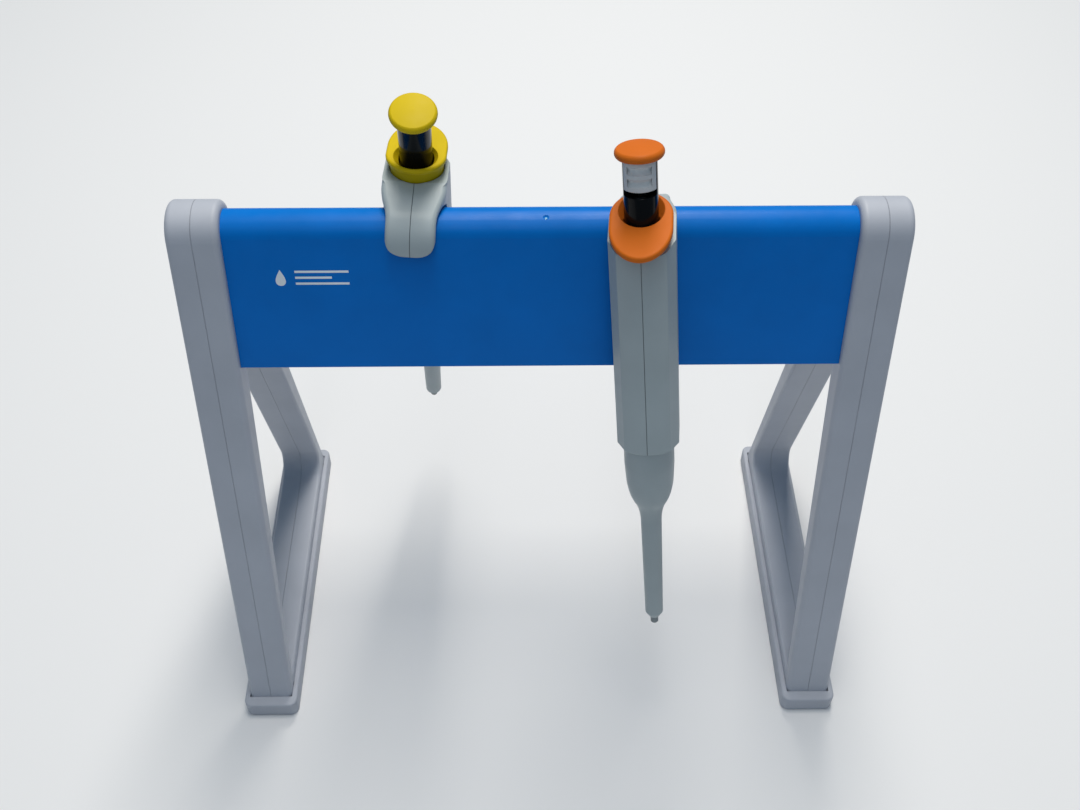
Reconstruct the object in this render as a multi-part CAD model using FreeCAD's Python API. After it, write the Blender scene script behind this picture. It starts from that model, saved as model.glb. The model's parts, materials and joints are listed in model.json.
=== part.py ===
import FreeCAD, Part
import math
import os

# Two single-channel pipettes hung on an A-frame bench stand, in millimetres.
# X runs along the stand's bar, the front is -Y, +Z is up.
# The origin is on the table, in the middle of the stand's footprint.

Vector = FreeCAD.Vector

# ---------------------------------------------------------------- stand sizes
frame_span = 300.0            # outside to outside of the two side frames
frame_width = 21.6            # one side frame, along X
ridge_height = 255.0          # centre line of the bar's ridge above the table
cap_radius = 12.75            # rounded top of each side frame
slope_deg = 15.2              # legs and bar skirts, away from the vertical
leg_depth_top = 16.2          # leg thickness at the cap
leg_depth_foot = 6.5          # leg thickness at the table
base_top = 16.0               # top of the frame's bottom rail
frame_bottom = 2.5            # underside of the frame, inside its shoe
frame_wall = 2.2
frame_edge_radius = 2.6
window_edge_radius = 1.2
rear_corner_radius = 11.0     # large fillet at the back of the triangle
apex_radius = 3.0

ridge_radius = 9.0            # outside of the bar's ridge
skirt_length = 60.4           # straight run of each skirt below the ridge
bar_wall = 2.4
bracket_length = 12.0
bracket_gap = 0.1
bracket_drop = 26.0

shoe_overhang = 2.6
shoe_height = 10.0
shoe_bottom = 0.5             # the shoe stands on pads that are this proud
shoe_corner_radius = 4.0
pad_radius = 6.0
pad_depth = 1.5
pad_inset = 14.0

screw_radius = 1.45
screw_hole_radius = 1.5
screw_head_radius = 3.0
screw_head_depth = 2.0
screw_sink = 0.2
boss_radius = 2.9

# ------------------------------------------------------------- pipette sizes
# Heights run up the pipette's own axis from the end of its tip cone.
# Its own +Y is the hook side and its own -Y is the thumb side.
cap_top = 241.0
cap_rim_low = 236.8
cap_rim_high = 240.3
cap_rim_radius = 9.55
stem_radius = 6.7
stem_bore = 5.3
stem_low = 190.0
plunger_travel = 14.0
ejector_travel = 5.0
lock_travel = 2.6

grip_low = 108.0              # lower end of the handle
grip_half_width = 13.2
grip_front = 13.5             # depth of the thumb side, from the axis
grip_back = 14.1              # depth of the hook side, from the axis
grip_wall = 1.6
grip_floor = 2.0
well_radius = 11.3            # round opening in the handle's top, for the collar

hook_half_width = 10.1        # over the bar; it is as wide as the handle at its root
hook_mouth_radius = 11.65
hook_mouth_y = grip_back + 10.6
hook_mouth_z = 195.4
hook_outer_radius = 14.4
mouth_clearance = 1.9         # beside the ridge, so that a pipette can hang askew
hook_outer_z = 194.9
hook_edge_radius = 2.0
finger_end = 197.4
finger_end_radius = 8.5

lobe_front = 22.7             # ejector collar, thumb side
lobe_back = 11.8              # ejector collar, hook side
lobe_half_width = 12.3
lobe_high = 218.2             # its top at the hook side
lobe_low = 206.0              # its top at the thumb side
lobe_rise = (lobe_high - lobe_low) / (lobe_back + lobe_front)
lobe_thickness = 3.0
neck_radius = 10.95
dish_floor = 210.9            # the collar's top is hollowed around the stem
rim_gap = 0.4                 # pressed collar to the handle's rim
collar_hole = 7.35
collar_low = 199.5            # underside of the collar's neck

guide_bore = 7.0
guide_radius = 9.4
guide_top = 193.2
guide_low = 148.0
core_radius = 8.2
core_bore = 6.6
core_low = 92.0
nut_low = 168.0
nut_high = 173.0

drum_low = 149.9
drum_height = 6.0
drum_gap = 0.3
drum_bore = 9.5
drum_radius = 10.2

sleeve_radius = 10.95
sleeve_bore = 9.7
sleeve_top = 116.0
tube_radius_top = 4.75
tube_radius_low = 4.2
tube_bore = 3.5
sleeve_end = 4.0

cone_end_radius = 1.85
cone_neck_radius = 1.4
air_bore = 0.8
piston_radius = 1.5
piston_bore = 1.6
piston_low = 66.0
piston_high = 112.0
flange_low = 90.0
flange_high = 92.0
flange_radius = 9.4

rod_radius = 2.2
rod_top = 165.0
rod_flange_low = 140.0
rod_flange_radius = 6.0
spring_ledge = 116.0

# ------------------------------------------------- where each pipette hangs
hang_gap = 15.3               # pipette axis to the skirt's outer face
ridge_level = 195.9           # height on the pipette's axis beside the ridge
pipettes = {
    "orange": {"x": 39.5, "turn": 0.0, "lean": 4.5, "twist": -7.5},
    "yellow": {"x": -50.8, "turn": 180.0, "lean": 2.1, "twist": -3.0},
}

slope = math.radians(slope_deg)
frame_outer = frame_span / 2.0
frame_inner = frame_outer - frame_width
frame_split = frame_outer - frame_width / 2.0


# ------------------------------------------------------------------- helpers
def line(a, b):
    return Part.LineSegment(a, b).toShape()


def arc(a, mid, b):
    return Part.Arc(a, mid, b).toShape()


def face_of(edges):
    return Part.Face(Part.Wire(edges))


def cylinder(radius, low, high):
    return Part.makeCylinder(radius, high - low, Vector(0, 0, low))


def tube(outer, inner, low, high):
    return cylinder(outer, low, high).cut(cylinder(inner, low, high))


def revolve(points):
    """Solid of revolution about Z from (radius, height) corners."""
    corners = [Vector(r, 0, z) for r, z in points]
    outline = Part.makePolygon(corners + corners[:1])
    return Part.Face(outline).revolve(Vector(0, 0, 0), Vector(0, 0, 1), 360)


def box(low, high):
    size = [high[i] - low[i] for i in range(3)]
    return Part.makeBox(size[0], size[1], size[2], Vector(*low))


def one_solid(shape):
    """The single solid of a boolean result, with leftover seams removed."""
    return shape.removeSplitter().Solids[0]


def round_edges(solid, radius, wanted):
    edges = [edge for edge in solid.Edges if wanted(edge)]
    return solid.makeFillet(radius, edges)


def save(name, shape):
    shape.exportStep("parts/" + name + ".step")


# --------------------------------------------------------------------- stand
def yz(x, y, z):
    return Vector(x, y, z)


def front_normal():
    return (-math.cos(slope), math.sin(slope))


def down_front():
    return (-math.sin(slope), -math.cos(slope))


def on_slope(radius, run):
    """Point on the front slope: off the ridge centre by radius, down by run."""
    n = front_normal()
    d = down_front()
    return (radius * n[0] + run * d[0], ridge_height + radius * n[1] + run * d[1])


def run_to_height(radius, height):
    return (ridge_height + radius * math.sin(slope) - height) / math.cos(slope)


def frame_outline(x):
    """Outside of a side frame at one X: two sloping legs under a round cap."""
    top = on_slope(cap_radius, 0)
    foot = on_slope(cap_radius, run_to_height(cap_radius, frame_bottom))
    front_foot = yz(x, foot[0], foot[1])
    front_top = yz(x, top[0], top[1])
    crown = yz(x, 0, ridge_height + cap_radius)
    rear_top = yz(x, -top[0], top[1])
    rear_foot = yz(x, -foot[0], foot[1])
    return face_of([
        line(front_foot, front_top),
        arc(front_top, crown, rear_top),
        line(rear_top, rear_foot),
        line(rear_foot, front_foot),
    ])


def inner_leg_y(height):
    """Depth from the middle to a leg's inner face at one height."""
    run = run_to_height(cap_radius, height)
    whole = run_to_height(cap_radius, 0)
    depth = leg_depth_top + (leg_depth_foot - leg_depth_top) * run / whole
    outer = on_slope(cap_radius, run)
    return -outer[0] - depth / math.cos(slope)


def apex_height():
    low = inner_leg_y(base_top)
    high = inner_leg_y(200.0)
    return base_top + (200.0 - base_top) * low / (low - high)


def frame_triangle(x_low, x_high):
    """Prism through the frame's triangular opening, its corners rounded."""
    y = inner_leg_y(base_top)
    corners = [yz(x_low, -y, base_top), yz(x_low, y, base_top), yz(x_low, 0, apex_height())]
    outline = Part.makePolygon(corners + corners[:1])
    prism = Part.Face(outline).extrude(Vector(x_high - x_low, 0, 0))
    middle = (x_low + x_high) / 2.0
    rear = [e for e in prism.Edges if e.CenterOfMass.isEqual(yz(middle, y, base_top), 0.01)]
    prism = prism.makeFillet(rear_corner_radius, rear)
    apex = yz(middle, 0, apex_height())
    top = [e for e in prism.Edges if e.CenterOfMass.isEqual(apex, 0.01)]
    return prism.makeFillet(apex_radius, top)


def frame_block(x_low, x_high):
    block = frame_outline(x_low).extrude(Vector(x_high - x_low, 0, 0))
    return block.cut(frame_triangle(x_low, x_high))


def screw_places():
    """Screw centres in the side view: one in the cap, one above each foot."""
    foot_y = inner_leg_y(base_top) + 2.0
    foot_z = frame_bottom + 7.0
    return [(0.0, ridge_height), (-foot_y, foot_z), (foot_y, foot_z)]


def x_rod(radius, x_low, x_high, place):
    return Part.makeCylinder(radius, x_high - x_low, Vector(x_low, place[0], place[1]), Vector(1, 0, 0))


def half_frame(x_skin, x_open):
    """One moulded half of a side frame: skin at x_skin, open at x_open."""
    low = min(x_skin, x_open)
    high = max(x_skin, x_open)
    outward = 1.0 if x_skin > x_open else -1.0
    block = frame_block(low, high)
    skin_edges = []
    window_edges = []
    limit = inner_leg_y(base_top)
    for edge in block.Edges:
        centre = edge.CenterOfMass
        if abs(centre.x - x_skin) > 0.01 or centre.z < frame_bottom + 0.01:
            continue
        inside = abs(centre.y) < limit and base_top - 0.01 < centre.z < apex_height()
        outline_y = -on_slope(cap_radius, run_to_height(cap_radius, centre.z))[0]
        if inside and abs(centre.y) < outline_y - 2.0:
            window_edges.append(edge)
        else:
            skin_edges.append(edge)
    rounded = block.makeFillet(frame_edge_radius, skin_edges)
    window = [e for e in rounded.Edges for w in window_edges if e.CenterOfMass.isEqual(w.CenterOfMass, 0.01)]
    rounded = rounded.makeFillet(window_edge_radius, window)
    section = frame_outline(x_open).cut(frame_triangle(low - 1.0, high + 1.0)).Faces[0]
    inset = section.makeOffset2D(-frame_wall)
    reach = frame_width / 2.0 - frame_wall
    hollow = inset.extrude(Vector(outward * reach, 0, 0))
    shell = rounded.cut(hollow)
    for place in screw_places():
        boss = x_rod(boss_radius, low, high, place).common(block)
        trim = box([low, -200, 0], [high, 200, 300]).common(rounded)
        shell = shell.fuse(boss.common(trim))
    for place in screw_places():
        shell = shell.cut(x_rod(screw_hole_radius, low - 1.0, high + 1.0, place))
    return one_solid(shell)


def mirror_x(shape):
    return shape.mirror(Vector(0, 0, 0), Vector(1, 0, 0))


def head_pocket(place):
    floor = frame_outer - screw_head_depth - screw_sink
    return x_rod(screw_head_radius + 0.1, floor, frame_outer + 1.0, place)


def screw_along_x(head_x, tip_x, place):
    head = x_rod(screw_head_radius, head_x - screw_head_depth, head_x, place)
    shank = x_rod(screw_radius, tip_x, head_x - screw_head_depth, place)
    slot_low = [head_x - 0.9, place[0] - 2.0, place[1] - 0.4]
    slot_high = [head_x + 0.1, place[0] + 2.0, place[1] + 0.4]
    cross_low = [head_x - 0.9, place[0] - 0.4, place[1] - 2.0]
    cross_high = [head_x + 0.1, place[0] + 0.4, place[1] + 2.0]
    screw = head.fuse(shank).cut(box(slot_low, slot_high)).cut(box(cross_low, cross_high))
    return one_solid(screw)


def make_shoe():
    low = [frame_inner - shoe_overhang, -1.0, shoe_bottom]
    depth = -on_slope(cap_radius, run_to_height(cap_radius, 0))[0] + shoe_overhang
    low[1] = -depth
    high = [frame_outer + shoe_overhang, depth, shoe_height]
    shoe = box(low, high)
    shoe = round_edges(shoe, shoe_corner_radius, lambda e: abs(e.tangentAt(e.FirstParameter).z) > 0.99)
    rim = [e for e in shoe.Edges if abs(e.CenterOfMass.z - shoe_height) < 0.01]
    shoe = shoe.makeFillet(1.0, rim)
    shoe = shoe.cut(frame_outline(frame_inner).extrude(Vector(frame_width, 0, 0)))
    for pad in pad_places():
        shoe = shoe.cut(Part.makeCylinder(pad_radius + 0.1, pad_depth, Vector(pad[0], pad[1], 0)))
    return one_solid(shoe)


def pad_places():
    middle = frame_outer - frame_width / 2.0
    reach = -on_slope(cap_radius, run_to_height(cap_radius, 0))[0] - pad_inset
    return [(middle, -reach), (middle, reach)]


def make_pads():
    pads = []
    for place in pad_places():
        pad = Part.makeCylinder(pad_radius, pad_depth, Vector(place[0], place[1], 0))
        lower = [e for e in pad.Edges if abs(e.CenterOfMass.z) < 0.01]
        pads.append(pad.makeChamfer(0.3, lower))
    return Part.makeCompound(pads)


def vee_face(x, radius, run):
    """Section of an upside-down V with a round ridge, filled."""
    top = on_slope(radius, 0)
    foot = on_slope(radius, run)
    return face_of([
        line(yz(x, foot[0], foot[1]), yz(x, top[0], top[1])),
        arc(yz(x, top[0], top[1]), yz(x, 0, ridge_height + radius), yz(x, -top[0], top[1])),
        line(yz(x, -top[0], top[1]), yz(x, -foot[0], foot[1])),
        line(yz(x, -foot[0], foot[1]), yz(x, foot[0], foot[1])),
    ])


def make_bar():
    length = 2.0 * frame_inner
    outer = vee_face(-frame_inner, ridge_radius, skirt_length).extrude(Vector(length, 0, 0))
    inner = vee_face(-frame_inner, ridge_radius - bar_wall, skirt_length + 5.0).extrude(Vector(length, 0, 0))
    bar = outer.cut(inner)
    bar = round_edges(bar, 0.6, lambda e: e.Length > length - 1.0 and e.CenterOfMass.z < ridge_height - 40.0)
    dimple = Part.makeSphere(1.6, Vector(2.0, -3.2, ridge_height + ridge_radius + 0.55))
    return one_solid(bar.cut(dimple))


def make_bracket():
    radius = ridge_radius - bar_wall - bracket_gap
    start = frame_inner - bracket_length
    block = vee_face(start, radius, bracket_drop).extrude(Vector(bracket_length, 0, 0))
    core = vee_face(start, radius - bar_wall, bracket_drop + 5.0).extrude(Vector(bracket_length - 3.0, 0, 0))
    web = x_rod(boss_radius, start, frame_inner, (0.0, ridge_height))
    bracket = block.cut(core).fuse(web)
    hole = x_rod(screw_hole_radius, start - 1.0, frame_inner + 1.0, (0.0, ridge_height))
    return one_solid(bracket.cut(hole))


def make_frame_screws(side):
    lengths = [frame_width + bracket_length - 3.0, frame_width - 4.0, frame_width - 4.0]
    screws = []
    for place, length in zip(screw_places(), lengths):
        screw = screw_along_x(frame_outer - screw_sink, frame_outer - length, place)
        screws.append(screw if side > 0 else mirror_x(screw))
    return screws


def build_stand():
    outer_half = half_frame(frame_outer, frame_split)
    for place in screw_places():
        outer_half = outer_half.cut(head_pocket(place))
    outer_half = one_solid(outer_half)
    inner_half = half_frame(frame_inner, frame_split)
    right = {
        "frame_outer": outer_half,
        "frame_inner": inner_half,
        "base_shoe": make_shoe(),
        "foot_pads": make_pads(),
        "bar_bracket": make_bracket(),
    }
    for name, shape in right.items():
        save("right_" + name, shape)
        save("left_" + name, mirror_x(shape))
    save("hanging_bar", make_bar())
    save("frame_screws", Part.makeCompound(make_frame_screws(1) + make_frame_screws(-1)))


# ------------------------------------------------------------------ pipettes
def grip_face(inset, z):
    """Handle section: gently crowned thumb side, small facets, flat back."""
    half = grip_half_width - inset
    front = grip_front - inset
    back = grip_back - inset
    crown = half - 3.4
    crown_y = -front + 3.2
    side_y = -4.0
    corner = 6.0 - inset
    a = Vector(-crown, crown_y, z)
    b = Vector(crown, crown_y, z)
    c = Vector(half, side_y, z)
    d = Vector(half, back - corner, z)
    e = Vector(half - corner, back, z)
    k = corner * (1.0 - math.sqrt(0.5))
    f = Vector(-half + corner, back, z)
    g = Vector(-half, back - corner, z)
    h = Vector(-half, side_y, z)
    return face_of([
        arc(a, Vector(0, -front, z), b),
        line(b, c),
        line(c, d),
        arc(d, Vector(half - k, back - k, z), e),
        line(e, f),
        arc(f, Vector(-half + k, back - k, z), g),
        line(g, h),
        line(h, a),
    ])


def side_profile(points, half_width):
    """Prism across X from (y, z) corners."""
    corners = [Vector(-half_width, y, z) for y, z in points]
    outline = Part.makePolygon(corners + corners[:1])
    return Part.Face(outline).extrude(Vector(2.0 * half_width, 0, 0))


def finger_outline():
    """Finger as seen from the hook side: straight flanks and a round end."""
    side = hook_half_width + 0.5
    low = finger_end
    bend = low + finger_end_radius
    y = hook_mouth_y
    k = finger_end_radius * (1.0 - math.sqrt(0.5))
    left = Vector(-side, y, bend)
    right = Vector(side, y, bend)
    left_low = Vector(-side + finger_end_radius, y, low)
    right_low = Vector(side - finger_end_radius, y, low)
    top_left = Vector(-side, y, low + 40.0)
    top_right = Vector(side, y, low + 40.0)
    outline = face_of([
        line(top_left, left),
        arc(left, Vector(-side + k, y, low + k), left_low),
        line(left_low, right_low),
        arc(right_low, Vector(side - k, y, low + k), right),
        line(right, top_right),
        line(top_right, top_left),
    ])
    return outline.extrude(Vector(0, 30, 0))


def x_cylinder(radius, half_width, y, z):
    return Part.makeCylinder(radius, 2.0 * half_width, Vector(-half_width, y, z), Vector(1, 0, 0))


def skirt_room():
    """Room under the ridge for both skirts, as the hook's mouth opens."""
    spread = 2.0 * slope
    ridge_y = hang_gap + ridge_radius
    off = ridge_radius + mouth_clearance
    start = (ridge_y + off * math.cos(spread), ridge_level + off * math.sin(spread))
    run = 30.0
    end = (start[0] + run * math.sin(spread), start[1] - run * math.cos(spread))
    return side_profile([
        (grip_back, end[1]), (grip_back, hook_mouth_z), (hook_mouth_y, hook_mouth_z + 5.0), start, end,
    ], 20)


def hook_plan():
    """Hook from above: the handle's width at its root, narrower over the bar."""
    wide = grip_half_width
    slim = hook_half_width
    points = [Vector(wide, 12.0, 190.0), Vector(slim, 29.0, 190.0)]
    along = Vector(0, 1, 0)
    flank = Part.BSplineCurve()
    flank.interpolate(Points=points, InitialTangent=along * 14.0, FinalTangent=along * 14.0)
    right = flank.toShape()
    left = right.mirror(Vector(0, 0, 0), Vector(1, 0, 0))
    outline = face_of([
        line(Vector(-wide, 8.0, 190.0), Vector(wide, 8.0, 190.0)),
        line(Vector(wide, 8.0, 190.0), points[0]), right,
        line(points[1], Vector(slim, 45.0, 190.0)),
        line(Vector(slim, 45.0, 190.0), Vector(-slim, 45.0, 190.0)),
        line(Vector(-slim, 45.0, 190.0), Vector(-slim, 29.0, 190.0)), left,
        line(Vector(-wide, 12.0, 190.0), Vector(-wide, 8.0, 190.0)),
    ])
    return outline.extrude(Vector(0, 0, 40))


def hook_solid():
    """Finger hook: a beak that reaches back over the bar's ridge."""
    top = hook_outer_z + hook_outer_radius
    low = hook_outer_z - 1.0
    beak = x_cylinder(hook_outer_radius, 20.0, hook_mouth_y, hook_outer_z)
    root = box([-20, 8.0, low], [20, hook_mouth_y, top])
    front = box([-20, hook_mouth_y - 1.0, low], [20, hook_mouth_y + hook_outer_radius, hook_outer_z])
    side = root.fuse([beak.common(box([-20, hook_mouth_y - 1.0, low], [20, 60, 240])), front])
    hook = one_solid(side.removeSplitter().common(hook_plan()))
    hook = round_edges(hook, hook_edge_radius, lambda e: is_hook_edge(e, top))
    finger = hook.common(finger_outline())
    hook = hook.common(box([-20, 0, low], [20, hook_mouth_y, top])).fuse(finger)
    mouth = x_cylinder(hook_mouth_radius, 20.0, hook_mouth_y, hook_mouth_z)
    return one_solid(hook.cut(mouth).cut(skirt_room()))


def is_hook_edge(edge, top):
    """Edges that run along the hook between its flanks and its upper or outer side."""
    middle = edge.valueAt((edge.FirstParameter + edge.LastParameter) / 2.0)
    run = edge.BoundBox
    outside = (Vector(0, middle.y, middle.z) - Vector(0, hook_mouth_y, hook_outer_z)).Length
    on_outside = middle.z > top - 0.1 or (middle.y > hook_mouth_y and outside > hook_outer_radius - 0.1)
    return on_outside and abs(middle.x) > 9.0 and run.YLength + run.ZLength > 2.0


def handle_screw_places():
    return [(15.0, 205.6), (10.75, 121.0)]


def window_block(clear):
    """Volume window in the handle's +X side."""
    low = [core_radius, -3.6 - clear, drum_low - 0.4 - clear]
    high = [grip_half_width + 1.0, 3.6 + clear, drum_low + 3.0 * (drum_height + drum_gap) + clear]
    block = box(low, high)
    return round_edges(block, 1.5 + clear, lambda e: abs(e.tangentAt(e.FirstParameter).x) > 0.99)


def whole_handle():
    top = hook_outer_z + hook_outer_radius
    body = grip_face(0.0, grip_low).extrude(Vector(0, 0, top - grip_low))
    lower = [e for e in body.Edges if abs(e.CenterOfMass.z - grip_low) < 0.01]
    body = body.makeFillet(1.0, lower)
    body = body.fuse(hook_solid())
    rim_drop = lobe_thickness + ejector_travel + rim_gap
    rim_end = lobe_back + 0.6
    body = body.cut(side_profile([
        (-30, lobe_top(-30) - rim_drop), (rim_end, lobe_top(rim_end) - rim_drop), (rim_end, 230), (-30, 230),
    ], 20))
    floor_top = grip_low + grip_floor
    cavity = grip_face(grip_wall, floor_top).extrude(Vector(0, 0, hook_mouth_z - 2.0 - floor_top))
    well_low = hook_mouth_z - 2.5
    well = cylinder(well_radius, well_low, 230.0).fuse(box([-2.9, -11.9, well_low], [2.9, 0, 230]))
    body = body.cut(cavity).cut(well)
    body = body.cut(cylinder(sleeve_radius + 0.25, grip_low - 1.0, grip_low + grip_floor + 0.5))
    for place in handle_screw_places():
        boss = x_rod(2.35, -grip_half_width + 0.5, grip_half_width - 0.5, place)
        body = body.fuse(boss.common(grip_face(0.3, grip_low).extrude(Vector(0, 0, 110))))
    for place in handle_screw_places():
        body = body.cut(x_rod(1.1, -8.0, 20.0, place))
        body = body.cut(x_rod(2.1, 9.6, 20.0, place))
    return one_solid(body.cut(window_block(0.0)))


def handle_halves():
    whole = whole_handle()
    left = whole.common(box([-60, -60, 60], [0, 80, 260]))
    right = whole.common(box([0, -60, 60], [60, 80, 260]))
    return one_solid(left), one_solid(right)


def window_lens():
    skin = grip_face(0.1, 100).extrude(Vector(0, 0, 100))
    core = grip_face(grip_wall, 100).extrude(Vector(0, 0, 100))
    return one_solid(window_block(-0.05).common(skin).cut(core))


def handle_screws():
    screws = []
    for place in handle_screw_places():
        head = x_rod(2.0, 9.7, 11.4, place)
        shank = x_rod(1.05, -7.5, 9.7, place)
        slot = box([10.7, place[0] - 1.5, place[1] - 0.3], [11.5, place[0] + 1.5, place[1] + 0.3])
        screws.append(one_solid(head.fuse(shank).cut(slot)))
    return Part.makeCompound(screws)


def inner_frame():
    """Fixed core: lower spring tube, drum shoulder, guide tube and nut."""
    lower = tube(core_radius, core_bore, core_low, guide_low + 1.0)
    ledge = tube(core_radius, 3.0, spring_ledge - 2.0, spring_ledge)
    shoulder = tube(drum_radius, core_bore, guide_low, guide_low + 1.6)
    guide = tube(guide_radius, guide_bore, guide_low + 1.0, guide_top)
    nut = tube(guide_radius, 3.1, nut_low, nut_high)
    frame = lower.fuse([ledge, shoulder, guide, nut])
    plate = cylinder(11.3, 181.0, 183.0).cut(cylinder(guide_bore, 180.0, 184.0))
    plate = plate.cut(box([-12, -12, 180], [12, -10.0, 184]))
    return one_solid(frame.fuse(plate))


def drum_clip():
    low = drum_low + 3.0 * (drum_height + drum_gap)
    return tube(drum_radius, guide_radius, low, low + 1.0)


def drum(index):
    low = drum_low + index * (drum_height + drum_gap)
    ring = tube(drum_radius, drum_bore, low, low + drum_height)
    edges = [e for e in ring.Edges if e.Length > 2.0 * math.pi * drum_bore + 1.0]
    return ring.makeChamfer(0.2, edges)


def tip_cone():
    outer = revolve([
        (0, 0.0), (1.45, 0.0), (cone_end_radius, 0.5), (cone_end_radius, sleeve_end),
        (cone_neck_radius, sleeve_end), (cone_neck_radius, 9.0), (3.0, 12.0),
        (3.2, 64.0), (7.4, 84.0), (7.4, flange_low),
        (flange_radius, flange_low), (flange_radius, flange_high),
        (6.5, flange_high), (6.5, 104.0), (0, 104.0),
    ])
    bores = cylinder(air_bore, -1.0, 52.0)
    bores = bores.fuse(cylinder(piston_bore, 50.0, 89.0)).fuse(cylinder(3.5, 88.0, 105.0))
    return one_solid(outer.cut(bores))


def piston_seal():
    return revolve([(piston_radius + 0.05, 88.0), (3.45, 88.0), (3.45, 93.0), (2.7, 94.2),
                    (piston_radius + 0.05, 94.2)])


def piston():
    return revolve([(0, piston_low), (1.5, piston_low), (piston_radius, piston_low + 0.6),
                    (piston_radius, piston_high), (0, piston_high)])


def plunger_rod():
    flange_top = rod_flange_low + 2.0
    return revolve([
        (0, piston_high), (2.8, piston_high), (2.8, piston_high + 3.0 - 1.2), (rod_radius, piston_high + 2.4),
        (rod_radius, rod_flange_low), (rod_flange_radius, rod_flange_low),
        (rod_flange_radius, flange_top), (rod_radius, flange_top),
        (rod_radius, rod_top - 0.5), (rod_radius - 0.5, rod_top), (0, rod_top),
    ])


def coil_spring(wire, radius, low, high, turns):
    """Round-wire compression spring: half turns, each in its own sloping plane."""
    base = low + wire + 0.1
    rise = (high - low - 2.0 * wire - 0.2) / (2.0 * turns)
    pieces = []
    for count in range(2 * turns):
        side = 1.0 if count % 2 == 0 else -1.0
        start = Vector(side * radius, 0, base + count * rise)
        middle = Vector(0, 0, base + (count + 0.5) * rise)
        section = Part.Face(Part.Wire(Part.Circle(start, Vector(0, 1, 0), wire).toShape()))
        pieces.append(section.revolve(middle, Vector(side * rise, 0, 2.0 * radius), 180))
    return one_solid(pieces[0].multiFuse(pieces[1:]))


def setting_spindle():
    """Hollow screw that the knob turns in the fixed nut; ridged like a thread."""
    points = [(rod_radius + 0.1, 150.0)]
    z = 150.0
    while z < 186.0:
        points.append((2.7, z))
        points.append((3.0, z + 0.5))
        z += 1.0
    points += [(2.7, 186.0), (2.7, 231.0), (5.2, 231.0), (5.2, 233.0), (0, 233.0), (0, 168.0),
               (rod_radius + 0.1, 166.0)]
    return one_solid(revolve(points))


def lock_pocket(low, high, inner, clear):
    """Part of a ring on the stem's thumb side, for the lock slider."""
    ring = tube(7.6, inner, low - clear, high + clear)
    half = 6.1 + clear
    return ring.common(box([-half, -9.0, low - clear], [half, -0.5, high + clear]))


def knob_stem():
    stem = tube(stem_radius, stem_bore, stem_low, cap_rim_low)
    return one_solid(stem.cut(lock_pocket(225.0 - lock_travel, 236.5, stem_bore - 0.1, 0.05)))


def lock_slider():
    """Small sliding tongue with two finger scoops."""
    slider = lock_pocket(225.0, 236.5, 5.6, 0.0).common(cylinder(6.95, 220.0, 240.0))
    reach = box([-4.6, -12.0, 220.0], [4.6, 0, 240.0])
    for z in (228.4, 233.2):
        scoop = Part.makeTorus(8.0, 1.9, Vector(0, 0, z)).common(reach)
        slider = slider.cut(scoop)
    return one_solid(slider)


def button_cap():
    """Slightly domed push button on a plug that fills the stem's top."""
    edge = cap_rim_radius - 1.0
    rise = cap_top - cap_rim_high
    dome = (edge * edge + rise * rise) / (2.0 * rise)
    half_edge = edge / 2.0
    half_z = cap_top - dome + math.sqrt(dome * dome - half_edge * half_edge)
    crown = arc(Vector(edge, 0, cap_rim_high), Vector(half_edge, 0, half_z), Vector(0, 0, cap_top))
    under = Vector(cap_rim_radius - 0.6, 0, cap_rim_low + 0.3)
    waist = Vector(cap_rim_radius, 0, (cap_rim_low + cap_rim_high) / 2.0)
    rim = arc(under, waist, Vector(edge, 0, cap_rim_high))
    corners = [under] + [Vector(r, 0, z) for r, z in (
        (7.2, cap_rim_low), (5.2, cap_rim_low), (5.2, 233.0), (0, 233.0), (0, cap_top))]
    sides = [line(a, b) for a, b in zip(corners, corners[1:])]
    outline = face_of([crown, rim] + sides)
    return outline.revolve(Vector(0, 0, 0), Vector(0, 0, 1), 360)


def lobe_top(y):
    return lobe_low + (y + lobe_front) * lobe_rise


def lobe_outline(z):
    """Collar from above: rounded towards the hook, long towards the thumb."""
    front_y = -6.0
    flank = Vector(lobe_half_width, front_y, z)
    front = Part.Ellipse(Vector(0, -lobe_front, z), flank, Vector(0, front_y, z))
    back = Part.Ellipse(Vector(lobe_half_width, 0, z), Vector(0, lobe_back, z), Vector(0, 0, z))
    quarter = math.pi / 2.0
    return face_of([
        Part.ArcOfEllipse(front, -quarter, quarter).toShape(),
        line(flank, Vector(lobe_half_width, 0, z)),
        Part.ArcOfEllipse(back, 0, math.pi).toShape(),
        line(Vector(-lobe_half_width, 0, z), Vector(-lobe_half_width, front_y, z)),
    ])


def ejector_collar():
    """Thumb lobe around the stem, sloping down to the thumb side and dished on top."""
    far = 40.0
    plate = lobe_outline(190.0).extrude(Vector(0, 0, 40))
    plate = plate.common(side_profile([
        (-far, lobe_top(-far) - lobe_thickness), (far, lobe_top(far) - lobe_thickness),
        (far, lobe_top(far)), (-far, lobe_top(-far)),
    ], 20))
    plate = round_edges(plate, 1.1, lambda e: e.BoundBox.XLength + e.BoundBox.YLength > 1.0)
    under = side_profile([
        (-far, 190), (far, 190), (far, lobe_top(far) - 1.5), (-far, lobe_top(-far) - 1.5),
    ], 20)
    neck = cylinder(neck_radius, collar_low, lobe_high).common(under)
    dish = Part.makeCone(7.45, 11.2, 8.0, Vector(0, 0, dish_floor))
    collar = plate.fuse(neck).cut(dish).cut(cylinder(collar_hole, 190.0, 230.0))
    return one_solid(collar)


def ejector_bar():
    bar = box([-2.4, -11.5, sleeve_top], [2.4, -10.5, collar_low])
    head = box([-2.4, -11.5, collar_low - 1.0], [2.4, -8.2, collar_low])
    foot = box([-2.4, -11.5, sleeve_top], [2.4, -9.2, sleeve_top + 1.0])
    return one_solid(bar.fuse([head, foot]))


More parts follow.
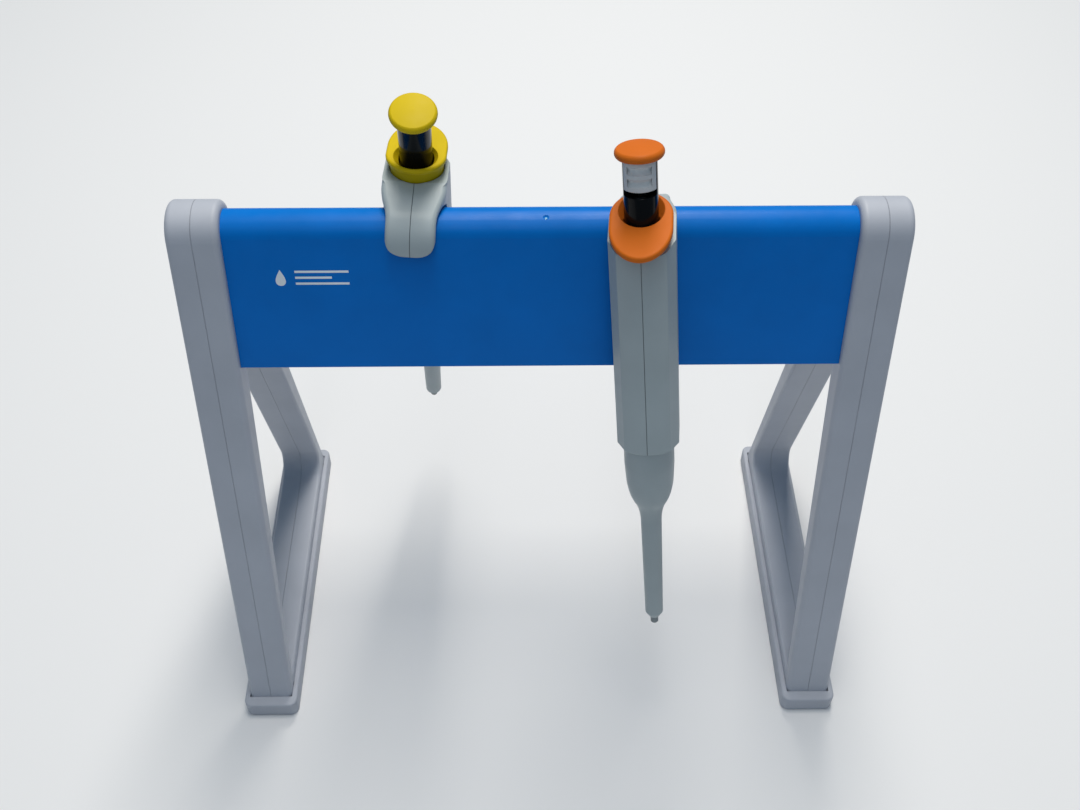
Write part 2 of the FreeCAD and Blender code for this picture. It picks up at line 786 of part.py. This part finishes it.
def ejector_sleeve():
    ring_low = sleeve_top - 2.0
    outside = [
        Vector(2.4, 0, sleeve_end), Vector(tube_radius_low, 0, 7.2),
        Vector(tube_radius_top, 0, 64.0), Vector(10.4, 0, 86.0),
        Vector(sleeve_radius, 0, 96.0), Vector(sleeve_radius, 0, sleeve_top),
    ]
    curve = Part.BSplineCurve()
    curve.interpolate(
        Points=[outside[2], Vector(7.3, 0, 74.6), outside[3]],
        Tangents=[Vector(0.05, 0, 1), Vector(0.55, 0, 1), Vector(0.12, 0, 1)],
        TangentFlags=[True, True, True], Scale=True)
    inside = [
        Vector(8.7, 0, sleeve_top), Vector(8.7, 0, ring_low), Vector(sleeve_bore, 0, ring_low),
        Vector(sleeve_bore, 0, 90.0), Vector(8.6, 0, 83.5), Vector(tube_bore, 0, 64.0),
        Vector(tube_bore, 0, 7.0), Vector(2.2, 0, 6.0), Vector(2.2, 0, sleeve_end),
    ]
    edges = [line(outside[0], outside[1]), line(outside[1], outside[2]), curve.toShape(),
             line(outside[3], outside[4]), line(outside[4], outside[5]), line(outside[5], inside[0])]
    edges += [line(a, b) for a, b in zip(inside, inside[1:])]
    edges.append(line(inside[-1], outside[0]))
    return face_of(edges).revolve(Vector(0, 0, 0), Vector(0, 0, 1), 360)


def pipette_parts():
    left, right = handle_halves()
    return {
        "handle_left": left,
        "handle_right": right,
        "handle_screws": handle_screws(),
        "display_window": window_lens(),
        "inner_frame": inner_frame(),
        "drum_clip": drum_clip(),
        "units_drum": drum(0),
        "tens_drum": drum(1),
        "hundreds_drum": drum(2),
        "tip_cone": tip_cone(),
        "piston_seal": piston_seal(),
        "piston": piston(),
        "plunger_rod": plunger_rod(),
        "main_spring": coil_spring(0.45, 3.6, spring_ledge, rod_flange_low, 9),
        "blowout_spring": coil_spring(0.5, 5.5, spring_ledge, 125.0, 3),
        "ejector_spring": coil_spring(0.4, 9.15, flange_high, sleeve_top - 2.0, 6),
        "setting_spindle": setting_spindle(),
        "knob_stem": knob_stem(),
        "lock_slider": lock_slider(),
        "button_cap": button_cap(),
        "ejector_collar": ejector_collar(),
        "ejector_bar": ejector_bar(),
        "ejector_sleeve": ejector_sleeve(),
    }


def hanging_place(pose):
    """Placement from a pipette's own frame to the stand's."""
    away = ridge_radius + hang_gap
    pivot = Vector(pose["x"], -away * math.cos(slope), ridge_height + away * math.sin(slope))
    tilt = FreeCAD.Rotation(Vector(1, 0, 0), -slope_deg)
    lean = FreeCAD.Rotation(Vector(0, 1, 0), -pose["lean"])
    twist = FreeCAD.Rotation(Vector(0, 0, 1), pose["twist"])
    side = FreeCAD.Rotation(Vector(0, 0, 1), pose["turn"])
    if pose["turn"] > 90.0:
        pivot = Vector(pose["x"], away * math.cos(slope), pivot.z)
    turned = side.multiply(tilt).multiply(lean).multiply(twist)
    origin = pivot - turned.multVec(Vector(0, 0, ridge_level))
    return FreeCAD.Placement(origin, turned)


def build_pipettes():
    parts = pipette_parts()
    for colour, pose in pipettes.items():
        place = hanging_place(pose)
        for name, shape in parts.items():
            placed = shape.copy()
            placed.Placement = place.multiply(placed.Placement)
            save(colour + "_" + name, placed)


os.makedirs("parts", exist_ok=True)
build_stand()
build_pipettes()
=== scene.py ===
import json
import math
import bpy
from mathutils import Matrix, Vector


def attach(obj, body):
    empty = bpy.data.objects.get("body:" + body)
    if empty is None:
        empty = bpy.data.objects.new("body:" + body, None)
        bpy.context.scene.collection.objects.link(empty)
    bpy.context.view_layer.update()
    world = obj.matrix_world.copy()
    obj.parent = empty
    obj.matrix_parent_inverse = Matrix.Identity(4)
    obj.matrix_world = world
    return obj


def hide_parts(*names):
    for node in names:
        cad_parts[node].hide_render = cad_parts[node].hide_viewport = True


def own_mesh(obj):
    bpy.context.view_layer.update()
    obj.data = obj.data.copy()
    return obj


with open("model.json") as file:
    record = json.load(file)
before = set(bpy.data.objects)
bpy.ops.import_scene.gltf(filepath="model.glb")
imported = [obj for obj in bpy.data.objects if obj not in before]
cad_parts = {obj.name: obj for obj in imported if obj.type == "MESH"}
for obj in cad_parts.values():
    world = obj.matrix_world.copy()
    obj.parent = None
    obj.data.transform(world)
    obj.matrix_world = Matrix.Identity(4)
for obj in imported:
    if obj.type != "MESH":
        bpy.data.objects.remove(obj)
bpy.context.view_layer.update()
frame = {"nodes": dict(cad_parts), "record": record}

MM = 0.001
NODES = frame["nodes"]
scene = bpy.context.scene

# ------------------------------------------------------------- where things are
# The stand's sizes and the pipettes' places, in millimetres and degrees, as the CAD has them.
SLOPE = math.radians(15.2)
RIDGE_HEIGHT = 255.0
RIDGE_RADIUS = 9.0
FRAME_SPLIT = 139.2
RIDGE_LEVEL = 195.9
HANG_GAP = 15.3

PIPETTES = {
    "orange": {"x": 39.5, "lean": 4.5, "twist": -7.5, "turn": 0.0},
    "yellow": {"x": -50.8, "lean": 2.1, "twist": -3.0, "turn": 180.0},
}


def hanging_matrix(pose):
    """From a pipette's own frame, in millimetres, to the row frame, in metres."""
    turned = (Matrix.Rotation(math.radians(pose["turn"]), 4, "Z")
              @ Matrix.Rotation(-SLOPE, 4, "X")
              @ Matrix.Rotation(math.radians(-pose["lean"]), 4, "Y")
              @ Matrix.Rotation(math.radians(pose["twist"]), 4, "Z"))
    away = RIDGE_RADIUS + HANG_GAP
    side = 1.0 if pose["turn"] > 90.0 else -1.0
    pivot = Vector((pose["x"], side * away * math.cos(SLOPE), RIDGE_HEIGHT + away * math.sin(SLOPE)))
    origin = pivot - turned.to_3x3() @ Vector((0.0, 0.0, RIDGE_LEVEL))
    return Matrix.Scale(MM, 4) @ Matrix.Translation(origin) @ turned


PLACES = {colour: hanging_matrix(pose) for colour, pose in PIPETTES.items()}


# -------------------------------------------------------------------- materials
NOISE_ROUGHNESS = 0.55
NOISE_LOW, NOISE_HIGH = 0.3, 0.7     # the part of the noise's range that the ramps use
MOTTLE_SCALE = 38.0
POLISH_SCALE = 160.0                 # the patches that are a little duller or shinier
POLISH_LESS, POLISH_MORE = 0.05, 0.06
SEAM_SHADE = 0.25                    # a seam's colour, as a share of the plastic's
SEAM_DEPTH = 0.12                    # a seam's depth, on the scale of the bump's height
BUMP_STRENGTH = 0.6
BUMP_DISTANCE = 0.0006               # metres
BEVEL_SAMPLES = 4


class Nodes:
    """Short calls for building one material's node tree."""

    def __init__(self, name):
        self.material = bpy.data.materials.new(name)
        self.material.use_nodes = True
        self.tree = self.material.node_tree
        self.shader = self.tree.nodes["Principled BSDF"]

    def add(self, kind, **settings):
        node = self.tree.nodes.new("ShaderNode" + kind)
        for key, value in settings.items():
            setattr(node, key, value)
        return node

    def join(self, out, into):
        self.tree.links.new(out, into)

    def math(self, operation, first, second=None):
        node = self.add("Math", operation=operation)
        for socket, value in zip(node.inputs, (first, second)):
            if value is None:
                continue
            if isinstance(value, (int, float)):
                socket.default_value = value
            else:
                self.join(value, socket)
        return node.outputs[0]

    def object_point(self, place=None):
        """Object coordinates in metres, or a pipette's own frame in millimetres."""
        coordinates = self.add("TexCoord").outputs["Object"]
        if place is None:
            return coordinates
        location, turn, scale = place.decompose()
        mapping = self.add("Mapping", vector_type="TEXTURE")
        mapping.inputs["Location"].default_value = location
        mapping.inputs["Rotation"].default_value = turn.to_euler("XYZ")
        mapping.inputs["Scale"].default_value = scale
        self.join(coordinates, mapping.inputs["Vector"])
        return mapping.outputs[0]

    def noise(self, point, scale, detail=3.0, stretch=None):
        if stretch:
            mapping = self.add("Mapping")
            mapping.inputs["Scale"].default_value = stretch
            self.join(point, mapping.inputs["Vector"])
            point = mapping.outputs[0]
        node = self.add("TexNoise")
        node.inputs["Scale"].default_value = scale
        node.inputs["Detail"].default_value = detail
        node.inputs["Roughness"].default_value = NOISE_ROUGHNESS
        self.join(point, node.inputs["Vector"])
        return node.outputs["Fac"]

    def ramp(self, value, low, high, to_low, to_high):
        node = self.add("MapRange")
        node.inputs["From Min"].default_value = low
        node.inputs["From Max"].default_value = high
        node.inputs["To Min"].default_value = to_low
        node.inputs["To Max"].default_value = to_high
        self.join(value, node.inputs["Value"])
        return node.outputs["Result"]

    def line_mask(self, value, centre, half_width):
        """1 on a thin line where value is near centre, 0 elsewhere."""
        away = self.math("ABSOLUTE", self.math("SUBTRACT", value, centre))
        return self.ramp(away, half_width * 0.6, half_width, 1.0, 0.0)

    def colour(self, base, darker, factor):
        mix = self.add("Mix", data_type="RGBA")
        self.join(factor, mix.inputs["Factor"])
        mix.inputs[6].default_value = (*base, 1.0)
        mix.inputs[7].default_value = (*darker, 1.0)
        return mix.outputs[2]

    def darken(self, colour, mask, dark):
        mix = self.add("Mix", data_type="RGBA")
        self.join(mask, mix.inputs["Factor"])
        self.join(colour, mix.inputs[6])
        mix.inputs[7].default_value = (*dark, 1.0)
        return mix.outputs[2]


def shade(colour, by):
    return tuple(min(1.0, max(0.0, channel * by)) for channel in colour)


def moulded(name, colour, rough, grain=2600.0, grain_depth=0.02, mottle=0.08, edge=0.35,
            specular=0.3, place=None, seam=None, brushed=None, metal=0.0):
    """Injection-moulded plastic (or metal): fine grain, slow mottling, soft edges, moulding seams."""
    n = Nodes(name)
    point = n.object_point()
    slow = n.noise(point, MOTTLE_SCALE, 4.0)
    fine = n.noise(point, grain, 2.0, stretch=brushed)
    factor = n.ramp(slow, NOISE_LOW, NOISE_HIGH, 0.0, 1.0)
    tint = n.colour(shade(colour, 1.0 + mottle), shade(colour, 1.0 - mottle), factor)
    height = n.math("MULTIPLY", fine, grain_depth)
    if seam:
        own = n.object_point(place) if place else point
        split = n.add("SeparateXYZ")
        n.join(own, split.inputs[0])
        axis, centre, half_width, mirrored, dark = seam
        value = split.outputs[axis]
        if mirrored:
            value = n.math("ABSOLUTE", value)
        mask = n.line_mask(value, centre, half_width)
        tint = n.darken(tint, n.math("MULTIPLY", mask, dark), shade(colour, SEAM_SHADE))
        height = n.math("SUBTRACT", height, n.math("MULTIPLY", mask, SEAM_DEPTH))
    n.join(tint, n.shader.inputs["Base Color"])
    polish = n.noise(point, POLISH_SCALE)
    n.join(n.ramp(polish, NOISE_LOW, NOISE_HIGH, rough - POLISH_LESS, rough + POLISH_MORE),
           n.shader.inputs["Roughness"])
    n.shader.inputs["Metallic"].default_value = metal
    n.shader.inputs["Specular IOR Level"].default_value = specular
    bump = n.add("Bump")
    bump.inputs["Strength"].default_value = BUMP_STRENGTH
    bump.inputs["Distance"].default_value = BUMP_DISTANCE
    n.join(height, bump.inputs["Height"])
    if edge > 0.0:
        bevel = n.add("Bevel", samples=BEVEL_SAMPLES)
        bevel.inputs["Radius"].default_value = edge * MM
        n.join(bevel.outputs[0], bump.inputs["Normal"])
    n.join(bump.outputs[0], n.shader.inputs["Normal"])
    return n.material


def clear_window(name):
    n = Nodes(name)
    n.shader.inputs["Base Color"].default_value = (0.92, 0.96, 0.97, 1.0)
    n.shader.inputs["Transmission Weight"].default_value = 1.0
    n.shader.inputs["IOR"].default_value = 1.49
    smears = n.noise(n.object_point(), 900.0)
    n.join(n.ramp(smears, NOISE_LOW, NOISE_HIGH, 0.03, 0.08), n.shader.inputs["Roughness"])
    return n.material


GREY = (0.43, 0.455, 0.51)
PIPETTE_GREY = (0.37, 0.425, 0.44)
BLUE = (0.0, 0.155, 0.56)
ORANGE = (0.61, 0.14, 0.012)
YELLOW = (0.61, 0.445, 0.005)

FINISHES = {
    "bar_plastic": moulded("bar_blue", BLUE, 0.34, grain=900.0, grain_depth=0.05, mottle=0.05, edge=0.4,
                           specular=0.12, brushed=(0.03, 1.0, 1.0)),
    "bracket_plastic": moulded("bracket_grey", (0.36, 0.37, 0.39), 0.5),
    "frame_plastic": moulded("frame_grey", GREY, 0.44, edge=0.7, mottle=0.04,
                             seam=(0, FRAME_SPLIT * MM, 0.13 * MM, True, 0.12)),
    "shoe_plastic": moulded("shoe_grey", shade(GREY, 0.96), 0.5, edge=0.7, mottle=0.05),
    "pad_rubber": moulded("pad_black", (0.022, 0.022, 0.023), 0.75, grain=1500.0, grain_depth=0.08),
    "screw_steel": moulded("screw_zinc", (0.56, 0.56, 0.57), 0.3, metal=1.0, brushed=(1.0, 0.2, 0.2)),
    "orange_plastic": moulded("orange_moulding", ORANGE, 0.46, edge=0.5, mottle=0.05, specular=0.1),
    "yellow_plastic": moulded("yellow_moulding", YELLOW, 0.46, edge=0.5, mottle=0.05, specular=0.1),
    "stem_plastic": moulded("stem_black", (0.004, 0.0045, 0.005), 0.12, grain_depth=0.004, specular=0.14),
    "slider_plastic": moulded("slider_grey", (0.60, 0.63, 0.64), 0.42, edge=0.4),
    "cone_plastic": moulded("cone_grey", (0.26, 0.29, 0.30), 0.4),
    "core_plastic": moulded("core_grey", (0.32, 0.33, 0.34), 0.5),
    "drum_plastic": moulded("drum_white", (0.78, 0.78, 0.76), 0.45, mottle=0.02, edge=0.15),
    "window_clear": clear_window("window_glassy"),
    "spring_steel": moulded("spring_wire", (0.50, 0.50, 0.51), 0.25, metal=1.0, edge=0.0),
    "rod_steel": moulded("rod_steel", (0.60, 0.60, 0.61), 0.2, metal=1.0, brushed=(1.0, 1.0, 0.05)),
    "seal_ptfe": moulded("seal_white", (0.80, 0.80, 0.78), 0.5),
}
HANDLES = {
    colour: moulded(colour + "_handle_grey", PIPETTE_GREY, 0.40, edge=0.5, mottle=0.05, place=place,
                    seam=(0, 0.0, 0.17, False, 0.85))
    for colour, place in PLACES.items()
}
SLEEVES = moulded("sleeve_grey", shade(PIPETTE_GREY, 0.98), 0.38, edge=0.5, mottle=0.05)

SLOTS = {part["node"]: part["material_slot"] for part in frame["record"]["subparts"]}
for name, obj in NODES.items():
    colour = name.split("_")[0]
    if "_handle_" in name and "screw" not in name:
        material = HANDLES[colour]
    elif SLOTS[name] == "body_plastic":
        material = SLEEVES
    else:
        material = FINISHES[SLOTS[name]]
    for material_slot in obj.material_slots:
        material_slot.material = material

INK = moulded("ink_black", (0.012, 0.012, 0.013), 0.5, edge=0.0)
PRINT = moulded("print_white", (0.80, 0.83, 0.86), 0.45, edge=0.0)


# ------------------------------------------------------------------ small pieces
def new_piece(name, vertices, faces, body, material, smooth=False):
    mesh = bpy.data.meshes.new(name)
    mesh.from_pydata([tuple(v) for v in vertices], [], faces)
    mesh.validate()
    mesh.update()
    for polygon in mesh.polygons:
        polygon.use_smooth = smooth
    mesh.materials.append(material)
    piece = bpy.data.objects.new(name, mesh)
    scene.collection.objects.link(piece)
    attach(piece, body)
    return piece


def slab(outline, low, high, place):
    """Closed prism: a counter-clockwise outline in x and y, between two z, through a placement."""
    count = len(outline)
    vertices = [place @ Vector((x, y, low)) for x, y in outline]
    vertices += [place @ Vector((x, y, high)) for x, y in outline]
    faces = [list(range(count))[::-1], list(range(count, 2 * count))]
    faces += [[i, (i + 1) % count, (i + 1) % count + count, i + count] for i in range(count)]
    return vertices, faces


def merged(parts):
    vertices, faces = [], []
    for some_vertices, some_faces in parts:
        base = len(vertices)
        vertices += some_vertices
        faces += [[i + base for i in face] for face in some_faces]
    return vertices, faces


# A generic droplet beside three short lines, printed on the front skirt.
def skirt_place(x, down):
    """On the front skirt: x across, y up the skirt, z out of it, in millimetres."""
    out = Vector((0.0, -math.cos(SLOPE), math.sin(SLOPE)))
    up = Vector((0.0, math.sin(SLOPE), math.cos(SLOPE)))
    face = Vector((0.0, 0.0, RIDGE_HEIGHT)) + out * RIDGE_RADIUS - up * down + Vector((x, 0.0, 0.0))
    rows = Matrix(((1, 0, 0), tuple(up), tuple(out))).transposed().to_4x4()
    return Matrix.Scale(MM, 4) @ Matrix.Translation(face) @ rows


def droplet(centre_x, centre_y, radius, height, count=28):
    points = []
    for i in range(count):
        angle = 2.0 * math.pi * i / count
        x = radius * math.sin(angle) * math.sin(angle / 2.0) ** 1.4
        points.append((centre_x - x, centre_y + height * 0.5 * math.cos(angle)))
    return points


def bar_outline(x, y, width, height):
    return [(x, y), (x + width, y), (x + width, y + height), (x, y + height)]


SIGN_X, SIGN_DOWN = -106.5, 17.0
PRINT_SUNK, PRINT_PROUD = -0.02, 0.05
LINE_START, LINE_HEIGHT = 6.0, 1.0
SIGN_LINES = ((2.2, 22.0), (-0.5, 15.0), (-3.2, 22.0))     # height on the sign, length

sign = skirt_place(SIGN_X, SIGN_DOWN)
shapes = [droplet(0.0, 0.0, 2.9, 7.4)]
shapes += [bar_outline(LINE_START, y, length, LINE_HEIGHT) for y, length in SIGN_LINES]
vertices, faces = merged([slab(shape, PRINT_SUNK, PRINT_PROUD, sign) for shape in shapes])
new_piece("skirt_print", vertices, faces, "stand", PRINT)

# A small glossy dot in the dimple on the bar's ridge, where its moulding gate is; its light cyan colour is
# a painted glint.
GATE_GLINT = moulded("gate_painted_glint", (0.30, 0.62, 0.80), 0.12, specular=0.8, edge=0.0)
DOT_RADIUS, DOT_HEIGHT = 0.62, 0.42
DIMPLE_DEPTH = 0.95
spot = Vector((2.0, -3.2, RIDGE_HEIGHT + RIDGE_RADIUS - DIMPLE_DEPTH))
rings, steps = 3, 16
vertices = [(spot + Vector((0.0, 0.0, DOT_HEIGHT))) * MM]
for ring in range(1, rings + 1):
    angle = ring * math.pi / (2.0 * rings)
    for step in range(steps):
        turn = 2.0 * math.pi * step / steps
        reach = DOT_RADIUS * math.sin(angle)
        offset = Vector((reach * math.cos(turn), reach * math.sin(turn), DOT_HEIGHT * math.cos(angle)))
        vertices.append((spot + offset) * MM)
faces = [[0, 1 + step, 1 + (step + 1) % steps] for step in range(steps)]
for ring in range(rings - 1):
    base, above_base = 1 + (ring + 1) * steps, 1 + ring * steps
    for step in range(steps):
        after = (step + 1) % steps
        faces.append([above_base + step, base + step, base + after, above_base + after])
faces.append([1 + (rings - 1) * steps + step for step in range(steps)][::-1])
new_piece("ridge_glint_dot", vertices, faces, "stand", GATE_GLINT, smooth=True)

# Plain numerals on the counter drums, seen through the display window.
DRUM_RADIUS = 10.2
DRUM_PITCH = 6.3
DRUM_LOW = 149.9
DRUM_HEIGHT = 6.0
NUMERAL_SIZE = 5.4
NUMERAL_THICKNESS = 0.04
NUMERAL_PROUD = 0.05


def numeral(text, size):
    """Flat closed letters of a numeral, in millimetres, as vertices and faces."""
    curve = bpy.data.curves.new("numeral", "FONT")
    curve.body = text
    curve.size = size
    curve.align_x = "CENTER"
    curve.align_y = "CENTER"
    curve.extrude = NUMERAL_THICKNESS
    holder = bpy.data.objects.new("numeral", curve)
    scene.collection.objects.link(holder)
    mesh = bpy.data.meshes.new_from_object(holder)
    vertices = [v.co.copy() for v in mesh.vertices]
    faces = [list(f.vertices) for f in mesh.polygons]
    bpy.data.objects.remove(holder)
    bpy.data.meshes.remove(mesh)
    bpy.data.curves.remove(curve)
    return vertices, faces


NUMERALS = [numeral(str(digit), NUMERAL_SIZE) for digit in range(10)]
for colour, place in PLACES.items():
    for level_count, drum in enumerate(("units", "tens", "hundreds")):
        middle = DRUM_LOW + DRUM_HEIGHT / 2.0 + level_count * DRUM_PITCH
        parts = []
        for digit, (flat, faces) in enumerate(NUMERALS):
            curved = []
            for v in flat:
                angle = 2.0 * math.pi * digit / 10.0 + v.x / DRUM_RADIUS
                radius = DRUM_RADIUS + NUMERAL_PROUD + v.z
                point = Vector((radius * math.cos(angle), radius * math.sin(angle), middle + v.y))
                curved.append(place @ point)
            parts.append((curved, faces))
        vertices, faces = merged(parts)
        new_piece(colour + "_" + drum + "_numerals", vertices, faces,
                  colour + "_" + drum + "_drum_body", INK)

# Each working spring gets its own copy of its mesh on the pipette's body, and the CAD spring is hidden.
WORKING_SPRINGS = {"main_spring": "plunger_press", "ejector_spring": "tip_ejector"}


def working_spring(colour, spring):
    node = colour + "_" + spring
    piece = bpy.data.objects.new(node + "_coil", NODES[node].data.copy())
    scene.collection.objects.link(piece)
    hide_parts(node)
    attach(piece, colour + "_pipette")
    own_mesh(piece)


for colour in PLACES:
    for spring, joint in WORKING_SPRINGS.items():
        working_spring(colour, spring)

# ------------------------------------------------------------------ camera, light
# Degrees from straight ahead and level, and millimetres.
CAMERA_TURNS = (1.191, 48.704, 0.490)
CAMERA_PLACE = (-7.491, -373.258, 571.184)
SENSOR_WIDTH = 36.0
FOCAL_LENGTH = 39.5332333

yaw, pitch, roll = [math.radians(turn) for turn in CAMERA_TURNS]
forward = Vector((math.sin(yaw) * math.cos(pitch), math.cos(yaw) * math.cos(pitch), -math.sin(pitch)))
level = Vector((math.cos(yaw), -math.sin(yaw), 0.0))
above = level.cross(forward)
right = level * math.cos(roll) + above * math.sin(roll)
up = above * math.cos(roll) - level * math.sin(roll)
camera_data = bpy.data.cameras.new("camera")
camera_data.sensor_width = SENSOR_WIDTH
camera_data.lens = FOCAL_LENGTH
camera_data.clip_start = 0.01
camera = bpy.data.objects.new("camera", camera_data)
scene.collection.objects.link(camera)
camera_axes = Matrix((right, up, -forward)).transposed().to_4x4()
camera.matrix_world = Matrix.Translation(Vector(CAMERA_PLACE) * MM) @ camera_axes
scene.camera = camera

scene.view_settings.view_transform = "Standard"
scene.view_settings.look = "None"
scene.view_settings.exposure = 0.0

SKY_COLOUR = (0.55, 0.77, 1.0, 1.0)
SKY_STRENGTH = 0.24
BACKDROP_COLOUR = (0.90, 0.91, 0.92, 1.0)
world = bpy.data.worlds.new("studio")
scene.world = world
world.use_nodes = True
sky = world.node_tree
sky.nodes["Background"].inputs["Color"].default_value = SKY_COLOUR
sky.nodes["Background"].inputs["Strength"].default_value = SKY_STRENGTH
# Rays straight from the camera see a pale backdrop beyond the floor, and not the sky that lights the scene.
pale = sky.nodes.new("ShaderNodeBackground")
pale.inputs["Color"].default_value = BACKDROP_COLOUR
seen = sky.nodes.new("ShaderNodeLightPath")
blend = sky.nodes.new("ShaderNodeMixShader")
sky.links.new(seen.outputs["Is Camera Ray"], blend.inputs[0])
sky.links.new(sky.nodes["Background"].outputs[0], blend.inputs[1])
sky.links.new(pale.outputs[0], blend.inputs[2])
sky.links.new(blend.outputs[0], sky.nodes["World Output"].inputs["Surface"])


LIGHT_TARGET = (0.0, 0.0, 0.15)


def soft_light(name, place, size, power, colour):
    data = bpy.data.lights.new(name, "AREA")
    data.shape = "RECTANGLE"
    data.size, data.size_y = size
    data.energy = power
    data.color = colour
    light = bpy.data.objects.new(name, data)
    light.location = place
    light.rotation_euler = (Vector(LIGHT_TARGET) - Vector(place)).to_track_quat("-Z", "Y").to_euler()
    scene.collection.objects.link(light)


soft_light("rear_strip", (0.08, 0.62, 1.70), (0.45, 1.5), 28.0, (1.0, 0.955, 0.89))
soft_light("front_strip", (-0.05, -0.66, 1.70), (0.30, 1.5), 5.2, (0.97, 0.98, 1.0))

FLOOR_RADIUS = 1.0
FLOOR_STEPS = 128
FLOOR_COLOUR = (0.82, 0.82, 0.82, 1.0)
FLOOR_ROUGHNESS = 0.8
floor_mesh = bpy.data.meshes.new("floor")
floor_turns = [2.0 * math.pi * i / FLOOR_STEPS for i in range(FLOOR_STEPS)]
floor_rim = [(FLOOR_RADIUS * math.cos(turn), FLOOR_RADIUS * math.sin(turn), 0.0) for turn in floor_turns]
floor_mesh.from_pydata(floor_rim, [], [list(range(FLOOR_STEPS))])
floor = bpy.data.objects.new("floor", floor_mesh)
scene.collection.objects.link(floor)
ground = Nodes("floor_pale")
ground.shader.inputs["Base Color"].default_value = FLOOR_COLOUR
ground.shader.inputs["Roughness"].default_value = FLOOR_ROUGHNESS
floor_mesh.materials.append(ground.material)
